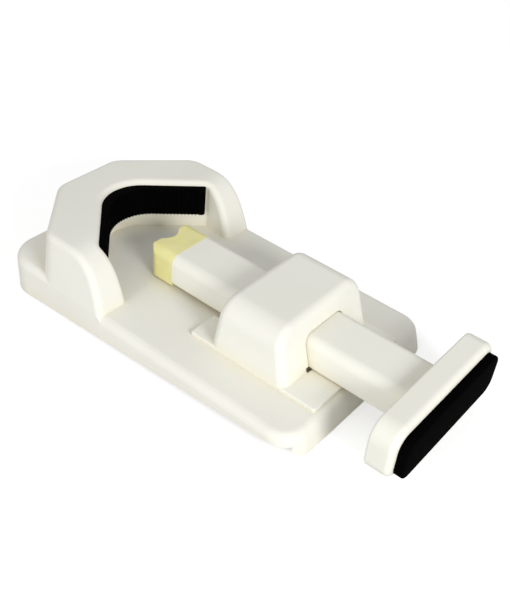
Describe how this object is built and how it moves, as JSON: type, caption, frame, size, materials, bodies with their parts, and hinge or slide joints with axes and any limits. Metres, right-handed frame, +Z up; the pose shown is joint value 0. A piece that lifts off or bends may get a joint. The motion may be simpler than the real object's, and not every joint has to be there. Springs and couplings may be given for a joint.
{
  "type": "jar holding clamp",
  "caption": "Worktop clamp that grips a jar or bottle: a wedge-shaped base with a V jaw, and a sliding ram that the user pushes with a padded plate.",
  "frame": {"origin": "middle of the back edge of the base, at the underside", "axes": "+X from the jaw towards the user and the push plate, +Y to the user's right as they face the jaw, +Z up, square to the deck"},
  "size_m": [0.2924, 0.14, 0.0575],
  "materials": {
    "white_base": "fine matt white moulding",
    "white_guide": "fine matt white moulding",
    "white_ram": "fine matt white moulding",
    "black_rubber": "matt black ribbed rubber",
    "black_pad": "matt black closed-cell foam rubber",
    "yellow_soft": "matt soft yellow rubber",
    "grip_rubber": "dark grey non-slip rubber",
    "steel": "bright zinc-plated steel"
  },
  "bodies": {
    "base": {"base_shell": "white_base", "jaw_strip": "black_rubber", "guide_housing": "white_guide", "guide_screw_1": "steel", "guide_screw_2": "steel", "guide_screw_3": "steel", "guide_screw_4": "steel", "stop_screw": "steel", "grip_strip_back": "grip_rubber", "grip_strip_front": "grip_rubber"},
    "ram": {"ram": "white_ram", "ram_tip": "yellow_soft", "push_plate": "white_ram", "plate_screw_left": "steel", "plate_screw_right": "steel", "push_pad": "black_pad"}
  },
  "joints": [
    {"name": "ram_slide", "type": "slide", "parent": "base", "child": "ram", "axis": [-1, 0, 0], "range_m": [-0.05, 0.029]}
  ]
}
